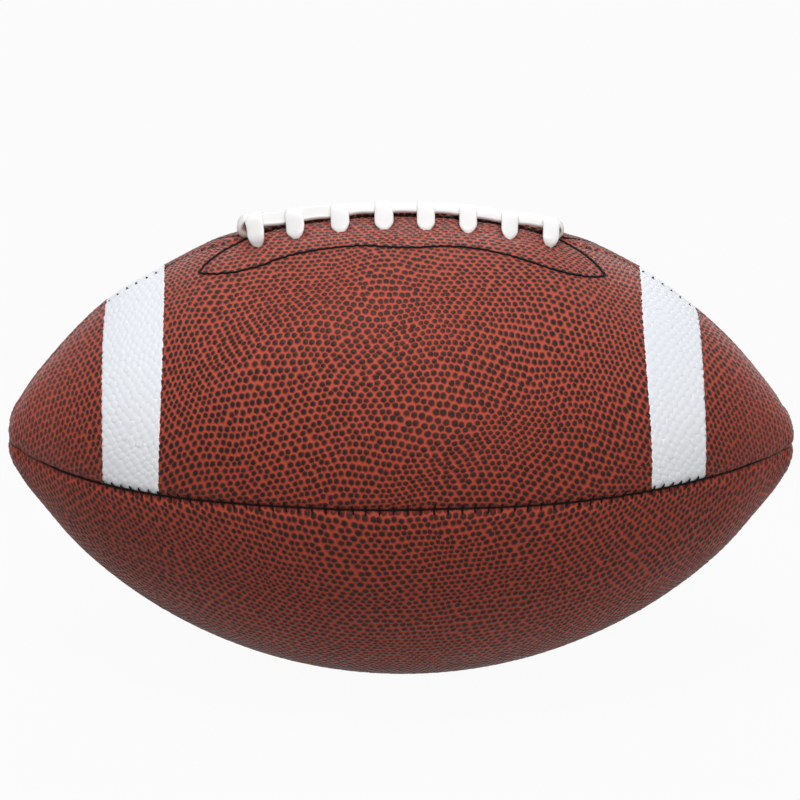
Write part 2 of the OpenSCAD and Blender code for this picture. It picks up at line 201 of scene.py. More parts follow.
def on_base(u, v):
    """Places on the plain ball for places (u along, v across) on the flat cover.

    They are given as x, across, out.
    """
    t = np.minimum(np.abs(u), SHEET_END - 1e-3)
    arc = np.minimum(t, BASE_ARC) / ARC_R
    nose = np.maximum(t - BASE_ARC, 0) / BASE_NOSE_R + BASE_TURN
    on_nose = t > BASE_ARC
    x = np.where(on_nose, BASE_NOSE_X + BASE_NOSE_R * np.sin(nose), ARC_R * np.sin(arc))
    r = np.where(on_nose, BASE_NOSE_R * np.cos(nose), ARC_R * np.cos(arc) - BASE_DROP)
    r = np.maximum(r, 1e-3)
    turn = np.clip(v / r, -1.6, 1.6)
    return np.stack([np.sign(u) * x, r * np.sin(turn), r * np.cos(turn)], -1)


def to_panel(p):
    """Moves points onto the bulged shape of a panel, and gives their outward directions."""
    for _ in range(4):
        q = p[:, 2] - OFFSET
        rho = np.hypot(p[:, 1], q)
        x = np.abs(p[:, 0])
        arc = np.hypot(x, rho + ARC_DROP)
        nose = np.hypot(x - NOSE_X, rho)
        on_nose = (x > NOSE_CUT) & (nose - NOSE_R > arc - ARC_R)
        far = np.where(on_nose, nose - NOSE_R, arc - ARC_R)
        gx = np.where(on_nose, (x - NOSE_X) / nose, x / arc)
        gr = np.where(on_nose, rho / nose, (rho + ARC_DROP) / arc)
        n = np.stack([np.sign(p[:, 0]) * gx, gr * p[:, 1] / rho, gr * q / rho], -1)
        p = p - far[:, None] * n
    return p, n


def outline_points():
    """A lace facing's outline, seen from above, on the side away from the lacing seam.

    Each point is its x and its distance from the seam.
    """
    shoulder_x, shoulder_r, sink = 48.0, 32.0, 3.0
    waist_w, foot, angle = 26.5, 51.0, math.radians(43)
    rise = shoulder_r - sink - waist_w
    waist_r = (shoulder_x**2 + rise**2) / (2 * rise)
    pts = []
    # slanted end, from beside the seam out to the shoulder's circle
    dx, dy = math.cos(angle), math.sin(angle)
    ox, oy = foot - shoulder_x, sink
    b = ox * dx + oy * dy
    length = -b + math.sqrt(b * b - (ox * ox + oy * oy - shoulder_r**2))
    start, bowed, count = 5, 1.5, 24
    for k in range(count):
        s = start + (length - start) * k / count
        bow = bowed * math.sin(math.pi * s / length)
        pts.append((foot + s * dx + bow * dy, s * dy - bow * dx))
    tip = (foot + length * dx, length * dy)
    # round the shoulder to where the waist's arc begins
    a0 = math.atan2(tip[1] + sink, tip[0] - shoulder_x)
    a1 = math.pi / 2
    count = 40
    for k in range(count):
        a = a0 + (a1 - a0) * k / count
        pts.append((shoulder_x + shoulder_r * math.cos(a), shoulder_r * math.sin(a) - sink))
    # the waist, a little fuller in its middle
    fuller, fuller_w, count = 3.8, 15, 60
    for k in range(count + 1):
        x = shoulder_x * (1 - k / count)
        arc = waist_w + waist_r - math.sqrt(waist_r**2 - x * x)
        pts.append((x, arc + fuller * bell(x, 0, fuller_w)))
    half = np.array(pts)
    other = half[::-1].copy()
    other[:, 0] *= -1
    full = np.vstack([half, other[1:]])
    # on the left the shoulder lies a little nearer to the lacing
    full[:, 1] -= bumps(full[:, 0], (1.3, -43, 11)) * step(8, 20, full[:, 1])
    return full


OUTLINE = outline_points()


def to_outline(x, y):
    """Distances from points to the facing's outline."""
    best, batch = np.full(len(x), 1e9), 60
    for k in range(0, len(OUTLINE), batch):
        part = OUTLINE[None, k : k + batch]
        d = np.hypot(x[:, None] - part[..., 0], y[:, None] - part[..., 1])
        best = np.minimum(best, d.min(1))
    return best


def crown(x, y):
    """Height of the flattened field."""
    rc = np.sqrt(np.maximum(CROWN_ARC_R**2 - x**2, 1)) - CROWN_ARC_R + CROWN_SECTION_R
    return CROWN_H - CROWN_SECTION_R + np.sqrt(np.maximum(rc**2 - y**2, 1))


def laced_field(p):
    """What the lacing does to the cover beside it.

    Gives how far a point is lowered onto the flattened field and drawn in at
    the laces and the facing's stitches, and how near it is to those stitches.
    """
    x = p[:, 0]
    y = (p[:, 1] - p[:, 2]) / ROOT2
    z = (p[:, 1] + p[:, 2]) / ROOT2
    near = p[:, 1] > 0
    lowered = np.where(near, z - smooth_min(z, crown(x, y), CROWN_BLEND), 0)
    holes = 0
    for hole_x in CROSS_XS:
        holes = holes + bumps(x, (0.75, hole_x, 3.6)) * bell(np.abs(y), CROSS_Y, 2.6)
    ends = bumps(np.abs(x), (0.8, END_X, 2.6)) * bell(y, 0, 4.5)
    slit = bumps(y, (1.2, 0, 1.7)) * (1 - step(52, 60, np.abs(x)))
    stitched = np.zeros(len(x))
    reach_x, reach_y, stitch_w, stitch_sink = 80, 40, 0.9, 0.28
    inside = near & (np.abs(x) < reach_x) & (np.abs(y) < reach_y)
    if inside.any():
        stitched[inside] = bell(to_outline(x[inside], np.abs(y[inside])), 0, stitch_w)
    drawn = np.where(near, holes + ends + slit, 0) + stitch_sink * stitched
    return near, lowered, drawn, stitched


def cover(u, v, laced, seed):
    """The cover's face for places on the flat cover.

    Gives points, outward directions, distances to the nearest seam, and the
    share of the pebbles' height.
    """
    p, n = to_panel(on_base(u, v))
    seam = (p[:, 2] - np.abs(p[:, 1])) / ROOT2
    along = p[:, 0]
    far = np.abs(along)
    # the rolled edge, puckered by its stitches
    tip = step(95, 135, far)
    pucker = np.cos(along * 2 * math.pi / STITCH) * (0.10 + 0.16 * tip)
    pucker = pucker + wave(along, 0 * along, seed + 3, 9) * (0.06 + 0.12 * tip)
    roll = ROLL_DEPTH * (1 - 0.65 * step(120, 134, far))
    depth = roll * (1 - np.clip(seam, 0, ROLL_W) / ROLL_W) ** 2 + bell(seam, 1.6, 1.2) * pucker
    height = 0.35 + 0.65 * step(0.4, 2.2, seam)
    height = height * (1 - 0.45 * step(110, 138, far))
    if laced:
        near, lowered, drawn, stitched = laced_field(p)
        height = height * (1 - 0.7 * stitched)
        p[:, 1] -= lowered / ROOT2
        p[:, 2] -= lowered / ROOT2
        depth = depth + drawn
        # beside the lacing's seam the dark seam line widens to about 3 mm: painted shade under the
        # lengthwise lace
        seam = seam + np.where(near, (1.2 * seam - 5.5) * (1 - step(54, 60, far)), 0)
    p = p - depth[:, None] * n
    return p, n, seam, height


def cover_out(u, v, laced, seed):
    """The cover's face with the true outward directions of its shape."""
    e = 0.15
    p, n, seam, height = cover(u, v, laced, seed)
    pu = cover(u + e, v, laced, seed)[0] - cover(u - e, v, laced, seed)[0]
    pv = cover(u, v + e, laced, seed)[0] - cover(u, v - e, laced, seed)[0]
    m = np.cross(pu, pv)
    length = np.linalg.norm(m, axis=1)
    good = length > 1e-6
    m = np.where(good[:, None], m / np.maximum(length, 1e-9)[:, None], n)
    m *= np.sign((m * n).sum(1) + 1e-9)[:, None]
    return p, m, seam, height


def lattice(pitch, jitter, rng, seed, u_range):
    """Where the pebbles lie on the flat cover.

    Gives each pebble's middle (u, v), the six corners round it, as numbers of
    corners, and the corners' own places.
    """
    rows = int(SHEET_HALF_W / (pitch * ROW)) + 3
    jj = np.arange(-rows, rows + 1)
    I, J = np.meshgrid(
        np.arange(int(u_range[0] / pitch) - 3, int(u_range[1] / pitch) + 5), jj, indexing="ij"
    )
    U = (I + 0.5 * (J % 2)) * pitch
    V = J * pitch * ROW
    U = U + rng.normal(0, jitter, U.shape) * pitch
    V = V + rng.normal(0, jitter, V.shape) * pitch
    # rows of pebbles wander over the hide
    du = wave(U, V, seed + 1, 70) * 1.6 + wave(U, V, seed + 2, 26) * 0.5
    dv = wave(U, V, seed + 5, 60) * 1.8 + wave(U, V, seed + 6, 24) * 0.5
    U, V = U + du, V + dv
    ni, nj = U.shape
    gi, gj = np.meshgrid(np.arange(ni), np.arange(nj), indexing="ij")
    odd = jj[gj] % 2

    def idx(i, j):
        return np.clip(i, 0, ni - 1) * nj + np.clip(j, 0, nj - 1)

    def corner(a, rows_up):
        """The middle between two pebbles of a row and the one above or below them."""
        a = a.ravel()
        return (a[idx(gi, gj)] + a[idx(gi + 1, gj)] + a[idx(gi + odd, gj + rows_up)]) / 3

    below = ni * nj  # the lower corners are numbered after the upper ones
    ring = [
        idx(gi, gj),
        idx(gi - 1 + odd, gj + 1) + below,
        idx(gi - 1, gj),
        idx(gi - 1, gj) + below,
        idx(gi - 1 + odd, gj - 1),
        idx(gi, gj) + below,
    ]
    ring = np.stack(ring, -1).reshape(-1, 6)
    cu = np.concatenate([corner(U, 1).ravel(), corner(U, -1).ravel()])
    cv = np.concatenate([corner(V, 1).ravel(), corner(V, -1).ravel()])
    mu, mv = U.ravel(), V.ravel()
    wide = on_base(mu, 0 * mu)[:, 2] * math.pi / 4 + 0.9 * pitch
    keep = ((gi > 0) & (gi < ni - 2) & (gj > 0) & (gj < nj - 1)).ravel()
    keep &= (np.abs(mv) < wide) & (np.abs(mu) < SHEET_END - 0.2)
    keep &= (mu > u_range[0] - pitch) & (mu < u_range[1] + pitch)
    used, ring = np.unique(ring[keep].ravel(), return_inverse=True)
    return mu[keep], mv[keep], ring.reshape(-1, 6), cu[used], cv[used]


def pebbled(pitch, jitter, relief, seed, u_range, laced):
    """Pebbled cover over a stretch of the flat cover.

    Gives points, four- and six-sided faces, where each face corner lies in its
    pebble, distances to the seam, and the faces' tones. A pebble has its foot
    on the corners, then a shoulder, then a flat cap.
    """
    rng = np.random.default_rng(seed)
    mu, mv, ring, cu, cv = lattice(pitch, jitter, rng, seed, u_range)
    n = len(mu)
    ou, ov = cu[ring] - mu[:, None], cv[ring] - mv[:, None]
    far = np.hypot(ou, ov)
    mean = far.mean(1, keepdims=True)
    size = 1 + rng.uniform(-SIZE_SPREAD, SIZE_SPREAD, (n, 1))

    def inset(share, own):
        """The foot's outline drawn in to a share of it, with a share of its own form."""
        k = own + (1 - own) * mean / far
        return ou * k * share, ov * k * share

    ua, va = inset(SHOULDER, 0.45)
    ub, vb = inset(CAP, 0.2)
    su = np.concatenate([cu, (mu[:, None] + ua).ravel(), (mu[:, None] + ub).ravel()])
    sv = np.concatenate([cv, (mv[:, None] + va).ravel(), (mv[:, None] + vb).ravel()])
    rise = np.repeat(size[:, 0], 6)
    rise = np.concatenate([np.zeros(len(cu)), SHOULDER_RISE * rise, rise])
    p, m, seam, height = cover_out(su, sv, laced, seed)
    p = p + m * ((rise - PEBBLE_SINK) * relief * height)[:, None]
    A = len(cu) + np.arange(n * 6).reshape(n, 6)
    B = A + n * 6
    nxt = np.roll(np.arange(6), -1)

    def band(low, high, axis=-1):
        """What the four corners of each face between two rings hold."""
        return np.stack([low, low[:, nxt], high[:, nxt], high], axis)

    def marks(u, v, share):
        return np.stack([u / mean / size, v / mean / size, np.full((n, 6), share)], -1)

    foot, shoulder, cap = marks(ou, ov, 1.0), marks(ua, va, SHOULDER), marks(ub, vb, CAP)
    quads = np.concatenate([band(ring, A).reshape(-1, 4), band(A, B).reshape(-1, 4)])
    held = (band(foot, shoulder, 2), band(shoulder, cap, 2), cap)
    loops = np.concatenate([h.reshape(-1, 3) for h in held])
    tone = rng.uniform(0, 1, n)
    tones = np.concatenate([np.repeat(tone, 6), np.repeat(tone, 6), tone])
    return p, quads, B, loops, seam, tones


def sheet(pebbles, seed, u_range, laced):
    """A stretch of pebbled cover in a panel's own directions, open along its seams."""
    p, quads, hexes, loops, seam, tones = pebbled(*pebbles, seed, u_range, laced)
    mesh = bpy.data.meshes.new("sheet")
    sizes = np.concatenate([np.full(len(quads), 4), np.full(len(hexes), 6)])
    corners = np.concatenate([quads.ravel(), hexes.ravel()])
    starts = np.concatenate([[0], np.cumsum(sizes)[:-1]])
    mesh.vertices.add(len(p))
    mesh.vertices.foreach_set("co", p.astype(np.float32).ravel())
    mesh.loops.add(len(corners))
    mesh.loops.foreach_set("vertex_index", corners.astype(np.int32))
    mesh.polygons.add(len(sizes))
    mesh.polygons.foreach_set("loop_start", starts.astype(np.int32))
    mesh.polygons.foreach_set("loop_total", sizes.astype(np.int32))
    mesh.update(calc_edges=True)
    for name, kind, domain, field, values in (
        ("pebble", "FLOAT_VECTOR", "CORNER", "vector", loops),
        ("seam", "FLOAT", "POINT", "value", np.clip(seam, 0, 20)),
        ("tone", "FLOAT", "FACE", "value", tones),
    ):
        data = mesh.attributes.new(name, kind, domain).data
        data.foreach_set(field, values.astype(np.float32).ravel())
    bm = bmesh.new()
    bm.from_mesh(mesh)
    bpy.data.meshes.remove(mesh)
    cut(bm, (0, 0, SEAM_GAP * ROOT2), (0, 1, -1))
    cut(bm, (0, 0, SEAM_GAP * ROOT2), (0, -1, -1))
    return bm


def cut(bm, point, normal, clear=True):
    """Cuts along a plane, and takes away all that lies on the normal's side."""
    geom = bm.verts[:] + bm.edges[:] + bm.faces[:]
    bmesh.ops.bisect_plane(
        bm, geom=geom, dist=1e-5, plane_co=point, plane_no=normal, clear_outer=clear
    )


def skirt(bm, depth):
    """Turns the open edges of the cover inwards."""
    rim = [e for e in bm.edges if e.is_boundary]
    made = bmesh.ops.extrude_edge_only(bm, edges=rim)["geom"]
    for v in made:
        if isinstance(v, bmesh.types.BMVert):
            inward = Vector((0.25 * v.co.x * abs(v.co.x) / HALF_L, v.co.y, v.co.z))
            v.co -= inward.normalized() * depth


def make_piece(bm, name, mat, node_name):
    """Settles a mesh made in millimetres round the lifted axis, as a piece in metres."""
    mesh = bpy.data.meshes.new(name)
    bm.to_mesh(mesh)
    bm.free()
    mesh.polygons.foreach_set("use_smooth", [True] * len(mesh.polygons))
    mesh.materials.append(mat)
    co = np.empty(len(mesh.vertices) * 3, np.float32)
    mesh.vertices.foreach_get("co", co)
    co = settle(co.reshape(-1, 3).astype(float) - (0, 0, AXIS_H)) + (0, 0, AXIS_H)
    mesh.vertices.foreach_set("co", (co * MM).astype(np.float32).ravel())
    mesh.update()
    piece = bpy.data.objects.new(name, mesh)
    bpy.context.scene.collection.objects.link(piece)
    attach(piece, "root")
    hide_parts(node_name)


# From a panel's own directions (along, across, out) to the ball's
S = 1 / ROOT2
PLACES = {
    "upper_front": Matrix(((1, 0, 0), (0, S, -S), (0, S, S))),
    "upper_rear": Matrix(((1, 0, 0), (0, -S, S), (0, S, S))),
    "lower_front": Matrix(((1, 0, 0), (0, -S, -S), (0, S, -S))),
    "lower_rear": Matrix(((1, 0, 0), (0, -S, S), (0, -S, -S))),
}


def cover_piece(bm, name, place, mat, node_name):
    """Moves a finished sheet to its panel's place, with its faces outwards."""
    bm.transform(Matrix.Translation(AXIS) @ PLACES[place].to_4x4())
    bmesh.ops.recalc_face_normals(bm, faces=bm.faces[:])
    outward = sum(f.normal.dot(f.calc_center_median() - AXIS) * f.calc_area() for f in bm.faces)
    if outward < 0:
        bmesh.ops.reverse_faces(bm, faces=bm.faces[:])
    make_piece(bm, name, mat, node_name)


def leave_out_stripes(bm):
    """Leaves the stripes' places out of the brown cover, and marks their edges as seams."""
    lo, hi = STRIPE_X, STRIPE_X + STRIPE_W
    for x in (-lo, lo, -hi, hi):
        cut(bm, (x, 0, 0), (1, 0, 0), clear=False)
    gone = [f for f in bm.faces if lo < abs(f.calc_center_median().x) < hi]
    bmesh.ops.delete(bm, geom=gone, context="FACES")
    near_seam = bm.verts.layers.float["seam"]
    for v in bm.verts:
        off = min(abs(abs(v.co.x) - lo), abs(abs(v.co.x) - hi))
        # a dark, scalloped line along the stripes' edges: dark edge pebbles, and painted shade at
        # the step down to the stripe
        hoop = math.atan2(v.co.y, v.co.z) * math.hypot(v.co.y, v.co.z)
        between = 0.5 + 0.5 * float(edge_wave(hoop))
        v[near_seam] = min(v[near_seam], (0.9 + 3.1 * between) * off + 0.6 * between)


def stripe(place, side, seed, mat):
    """A white stripe, pebbled more softly than the cover and let into it a little."""
    bm = sheet(STRIPE_PEBBLES, seed, sorted(side * u for u in STRIPE_SHEET), True)
    lo, hi = sorted((side * STRIPE_X, side * (STRIPE_X + STRIPE_W)))
    cut(bm, (lo, 0, 0), (-1, 0, 0))
    cut(bm, (hi, 0, 0), (1, 0, 0))
    bm.normal_update()
    for v in bm.verts:
        out = 1 if v.normal.dot(Vector((0, v.co.y, v.co.z))) > 0 else -1
        v.co -= v.normal * COAT_SINK * out
    skirt(bm, COAT_SKIRT)
    name = f"{'left' if side < 0 else 'right'}_{place.split('_')[1]}_stripe"
    cover_piece(bm, name + "_coat", place, mat, name)


def panel(place, seed, mat, stripe_mat):
    """A cover panel, and the stripes of an upper one."""
    laced = place.startswith("upper")
    bm = sheet(COVER_PEBBLES, seed, (-SHEET_END, SHEET_END), laced)
    if place == "upper_rear":
        valve_hole(bm)
    if laced:
        leave_out_stripes(bm)
    skirt(bm, COVER_SKIRT)
    cover_piece(bm, place + "_panel_cover", place, mat, place + "_panel")
    if laced:
        for side in (-1, 1):
            stripe(place, side, seed + 50 + side, stripe_mat)


def valve_hole(bm):
    """Opens a round hole for the valve in the upper rear panel."""
    # the valve's line in the panel's own directions, whose middle is 45 degrees from the lacing
    t = math.pi / 4 - VALVE_ANGLE
    axis = Vector((0, math.sin(t), math.cos(t)))
    foot = Vector((0, 0, OFFSET))
    inside = []
    for v in bm.verts:
        w = v.co - foot
        if w.dot(axis) < 0:
            continue
        side = w - axis * w.dot(axis)
        if side.length < VALVE_HOLE_R:
            inside.append((v, side, w.dot(axis)))
    chosen = {v for v, _, _ in inside}
    gone = [f for f in bm.faces if all(v in chosen for v in f.verts)]
    bmesh.ops.delete(bm, geom=gone, context="FACES")
    for v, side, height in inside:
        if v.is_valid and v.link_faces:
            v.co = foot + axis * height + side.normalized() * VALVE_HOLE_R


# Materials


def material(name):
    m = bpy.data.materials.new(name)
    m.use_nodes = True
    t = m.node_tree
    t.nodes.clear()
    out = t.nodes.new("ShaderNodeOutputMaterial")
    b = t.nodes.new("ShaderNodeBsdfPrincipled")
    t.links.new(b.outputs[0], out.inputs[0])
    return m, t, b


def node(t, kind, **values):
    """A new node. Values named in_SOCKET go to its sockets, and others to itself."""
    n = t.nodes.new(kind)
    for k, v in values.items():
        if k.startswith("in_"):
            n.inputs[k[3:]].default_value = v
        else:
            setattr(n, k, v)
    return n


def math_node(t, op, a, b=None):
    n = node(t, "ShaderNodeMath", operation=op)
    for socket, v in zip(n.inputs, (a, b)):
        if isinstance(v, (int, float)):
            socket.default_value = v
        elif v is not None:
            t.links.new(v, socket)
    return n.outputs[0]


def times(t, a, b):
    return math_node(t, "MULTIPLY", a, b)


def plus(t, a, b):
    return math_node(t, "ADD", a, b)


def mix_colour(t, factor, a, b, blend="MIX"):
    n = node(t, "ShaderNodeMix", data_type="RGBA", blend_type=blend)
    for socket, v in ((n.inputs[0], factor), (n.inputs[6], a), (n.inputs[7], b)):
        if isinstance(v, (int, float)):
            socket.default_value = v
        elif isinstance(v, tuple):
            socket.default_value = (*v, 1)
        else:
            t.links.new(v, socket)
    return n.outputs[2]


def map_range(t, value, lo, hi, to_lo=0.0, to_hi=1.0):
    n = node(t, "ShaderNodeMapRange", interpolation_type="SMOOTHSTEP")
    t.links.new(value, n.inputs[0])
    for i, v in enumerate((lo, hi, to_lo, to_hi)):
        n.inputs[i + 1].default_value = v
    return n.outputs[0]


def coords(t):
    return t.nodes.new("ShaderNodeTexCoord").outputs["Object"]


def split(t, vector):
    n = t.nodes.new("ShaderNodeSeparateXYZ")
    t.links.new(vector, n.inputs[0])
    return n.outputs


def noise(t, scale, detail=3.0, rough=0.5):
    n = node(t, "ShaderNodeTexNoise", in_Scale=scale, in_Detail=detail, in_Roughness=rough)
    t.links.new(coords(t), n.inputs["Vector"])
    return n.outputs[0]


def bands(t, direction, scale, distortion):
    n = node(
        t, "ShaderNodeTexWave", wave_type="BANDS", bands_direction=direction,
        in_Scale=scale, in_Distortion=distortion,
    )
    t.links.new(coords(t), n.inputs["Vector"])
    return n.outputs["Fac"]


def mark(t, name, output="Fac"):
    return node(t, "ShaderNodeAttribute", attribute_name=name).outputs[output]


def bump(t, b, height, distance, strength):
    n = node(t, "ShaderNodeBump", in_Strength=strength, in_Distance=distance)
    t.links.new(height, n.inputs["Height"])
    t.links.new(n.outputs[0], b.inputs["Normal"])


def surface(t, b, colour, grain, spread, rough):
    """Sets the colour, and a roughness that follows the grain."""
    t.links.new(colour, b.inputs["Base Color"])
    t.links.new(plus(t, times(t, grain, spread), rough), b.inputs["Roughness"])


def pebble_parts(t):
    """A point's place in its pebble, and the pebble's own tone and distance to the seam.

    The place is 0 in the pebble's middle and 1 at its foot. The distance is in
    millimetres.
    """
    x, y, share = split(t, mark(t, "pebble", "Vector"))
    flat = t.nodes.new("ShaderNodeCombineXYZ")
    t.links.new(x, flat.inputs[0])
    t.links.new(y, flat.inputs[1])
    length = node(t, "ShaderNodeVectorMath", operation="LENGTH")
    t.links.new(flat.outputs[0], length.inputs[0])
    out = plus(t, times(t, length.outputs["Value"], 0.4), times(t, share, 0.6))
    return out, mark(t, "tone"), mark(t, "seam")


def cover_material():
    m, t, b = material("pebbled_cover")
    r, tone, seam = pebble_parts(t)
    ragged, fine, broad = noise(t, 800, 2), noise(t, 4200, 4, 0.65), noise(t, 26, 3)
    x, _, z = split(t, coords(t))
    # the pebbles' edges are ragged, and no two are alike
    uneven = plus(t, r, times(t, math_node(t, "SUBTRACT", ragged, 0.5), 0.30))
    uneven = plus(t, uneven, times(t, math_node(t, "SUBTRACT", tone, 0.5), 0.05))
    red = mix_colour(t, broad, (0.465, 0.077, 0.042), (0.54, 0.096, 0.054))
    red = mix_colour(t, times(t, fine, 0.3), red, (0.3, 0.05, 0.033))
    flank = mix_colour(t, tone, (0.155, 0.022, 0.0135), (0.20, 0.030, 0.018))
    dark = mix_colour(t, tone, (0.0125, 0.0085, 0.0078), (0.024, 0.0155, 0.014))
    colour = mix_colour(t, map_range(t, uneven, 0.60, 0.90), flank, red)
    # dark tops, but not right beside the seams; paler towards the tips, a painted sheen where they
    # turn away
    top = map_range(t, uneven, 0.71, 0.38)
    top = times(t, top, map_range(t, plus(t, seam, ragged), 0.9, 2.1))
    tip = map_range(t, math_node(t, "ABSOLUTE", x), 0.105, 0.130)
    top = times(t, top, math_node(t, "SUBTRACT", 1.0, times(t, tip, 0.42)))
    colour = mix_colour(t, top, colour, dark)
    # darker low down: painted shade, where the lamps light the ball less
    painted_low_shade = mix_colour(t, 1.0, colour, (0.88, 0.75, 0.68), "MULTIPLY")
    colour = mix_colour(t, map_range(t, z, 0.150, 0.085), colour, painted_low_shade)
    # dark right beside the seams: the joint's dark edge, and painted shade in the seam's groove
    seam_line_and_shade = map_range(t, plus(t, seam, times(t, ragged, 0.4)), 0.8, 0.3)
    colour = mix_colour(t, times(t, seam_line_and_shade, 0.8), colour, (0.03, 0.013, 0.011))
    surface(t, b, colour, fine, 0.16, plus(t, times(t, top, -0.06), 0.38))
    dome = times(t, map_range(t, r, 1.0, 0.4), 0.8)
    bump(t, b, plus(t, dome, times(t, fine, 0.2)), 0.0002, 0.7)
    b.inputs["Specular IOR Level"].default_value = 0.14
    b.inputs["Sheen Weight"].default_value = 0.22
    b.inputs["Sheen Roughness"].default_value = 0.45
    b.inputs["Sheen Tint"].default_value = (1.0, 0.8, 0.76, 1)
    return m


def stripe_material():
    m, t, b = material("white_stripe")
    r, _, seam = pebble_parts(t)
    fine, broad = noise(t, 3500, 4, 0.6), noise(t, 60, 3)
    _, _, z = split(t, coords(t))
    # whiter low down and greyer up high: painted light, evening out how the lamps light the stripe
    painted_light_by_height = plus(t, map_range(t, z, 0.085, 0.135, 0, 0.9), times(t, broad, 0.1))
    white = mix_colour(t, painted_light_by_height, (0.95, 0.97, 0.998), (0.855, 0.882, 0.94))
    # greyer between the pebbles: painted shade in the hollows
    white = mix_colour(t, map_range(t, r, 0.7, 1.15, 0, 0.18), white, (0.78, 0.82, 0.89))
    white = mix_colour(t, times(t, fine, 0.08), white, (0.7, 0.7, 0.7))
    # greyer right beside the seams: the joint's dark edge, and painted shade in the seam's groove
    seam_line_and_shade = map_range(t, seam, 0.7, 0.25)
    white = mix_colour(t, times(t, seam_line_and_shade, 0.3), white, (0.2, 0.16, 0.15))
    surface(t, b, white, fine, 0.15, 0.38)
    bump(t, b, plus(t, map_range(t, r, 1.05, 0.3), times(t, fine, 0.12)), 0.0001, 0.3)
    return m


def lace_material():
    m, t, b = material("white_vinyl_lace")
    fine, broad = noise(t, 2600, 4, 0.6), noise(t, 90, 3)
    white = mix_colour(t, broad, (0.80, 0.79, 0.785), (0.845, 0.835, 0.835))
    white = mix_colour(t, times(t, fine, 0.10), white, (0.66, 0.64, 0.61))
    # the lace's uncoated back is cream
    white = mix_colour(t, times(t, mark(t, "under"), 0.8), white, (0.66, 0.53, 0.38))
    # greyer where the laces go down into the cover: painted shade at the holes
    _, y, _ = split(t, coords(t))
    low = map_range(t, math_node(t, "ABSOLUTE", y), 0.0120, 0.0150)
    white = mix_colour(t, times(t, low, times(t, broad, 0.35)), white, (0.62, 0.58, 0.53))
    surface(t, b, white, fine, 0.2, 0.28)
    b.inputs["Subsurface Weight"].default_value = 0.08
    b.inputs["Subsurface Radius"].default_value = (0.002, 0.002, 0.0018)
    bump(t, b, fine, 0.00005, 0.5)
    return m


def thread_material():
    m, t, b = material("black_thread")
    twist = bands(t, "DIAGONAL", 900.0, 1.5)
    colour = mix_colour(t, twist, (0.003, 0.0026, 0.0028), (0.014, 0.012, 0.013))
    surface(t, b, colour, noise(t, 2500), 0.3, 0.35)
    b.inputs["Specular IOR Level"].default_value = 0.06
    bump(t, b, twist, 0.00008, 0.8)
    return m


def cloth_material():
    m, t, b = material("lining_cloth")
    weave = times(t, bands(t, "X", 330.0, 0.6), bands(t, "Y", 330.0, 0.6))
    colour = mix_colour(t, weave, (0.36, 0.31, 0.24), (0.62, 0.56, 0.47))
    colour = mix_colour(t, times(t, noise(t, 40), 0.3), colour, (0.45, 0.38, 0.3))
    surface(t, b, colour, weave, 0.1, 0.75)
    bump(t, b, weave, 0.0002, 0.6)
    return m


def split_material():
    m, t, b = material("tan_split")
    fine = noise(t, 1800, 5, 0.7)
    colour = mix_colour(t, noise(t, 50, 3), (0.42, 0.26, 0.14), (0.55, 0.36, 0.21))
    colour = mix_colour(t, times(t, fine, 0.5), colour, (0.3, 0.18, 0.1))
    surface(t, b, colour, fine, 0.2, 0.65)
    bump(t, b, fine, 0.00025, 0.7)
    return m


def rubber_material(name, low, high, rough):
    m, t, b = material(name)
    fine = noise(t, 2200, 4, 0.6)
    colour = mix_colour(t, noise(t, 35, 3), low, high)
    colour = mix_colour(t, times(t, fine, 0.3), colour, tuple(c * 1.7 for c in high))
    surface(t, b, colour, fine, 0.2, rough)
    bump(t, b, fine, 0.0001, 0.6)
    return m


COVER = cover_material()
STRIPE = stripe_material()
LACE = lace_material()
THREAD = thread_material()
CLOTH = cloth_material()
SPLIT = split_material()
BLADDER = rubber_material("bladder_rubber", (0.02, 0.02, 0.021), (0.045, 0.045, 0.047), 0.55)
VALVE = rubber_material("valve_rubber", (0.03, 0.03, 0.031), (0.06, 0.06, 0.062), 0.5)
PLUG = rubber_material("plug_rubber", (0.05, 0.05, 0.05), (0.09, 0.088, 0.085), 0.45)

for names, mat in (
    (("upper_front_lining", "upper_rear_lining", "lower_front_lining", "lower_rear_lining"), CLOTH),
    (("front_lace_facing", "rear_lace_facing", "lace_guard"), SPLIT),
    (("bladder",), BLADDER),
    (("valve_housing",), VALVE),
    (("valve_plug",), PLUG),
):
    for name in names:
        slots = nodes[name].data.materials
        for k in range(len(slots)):
            slots[k] = mat
        if not len(slots):
            slots.append(mat)

PANEL_SEEDS = {"upper_front": 11, "upper_rear": 23, "lower_front": 37, "lower_rear": 41}
for place, seed in PANEL_SEEDS.items():
    panel(place, seed, COVER, STRIPE)


# Threads and laces are swept shapes


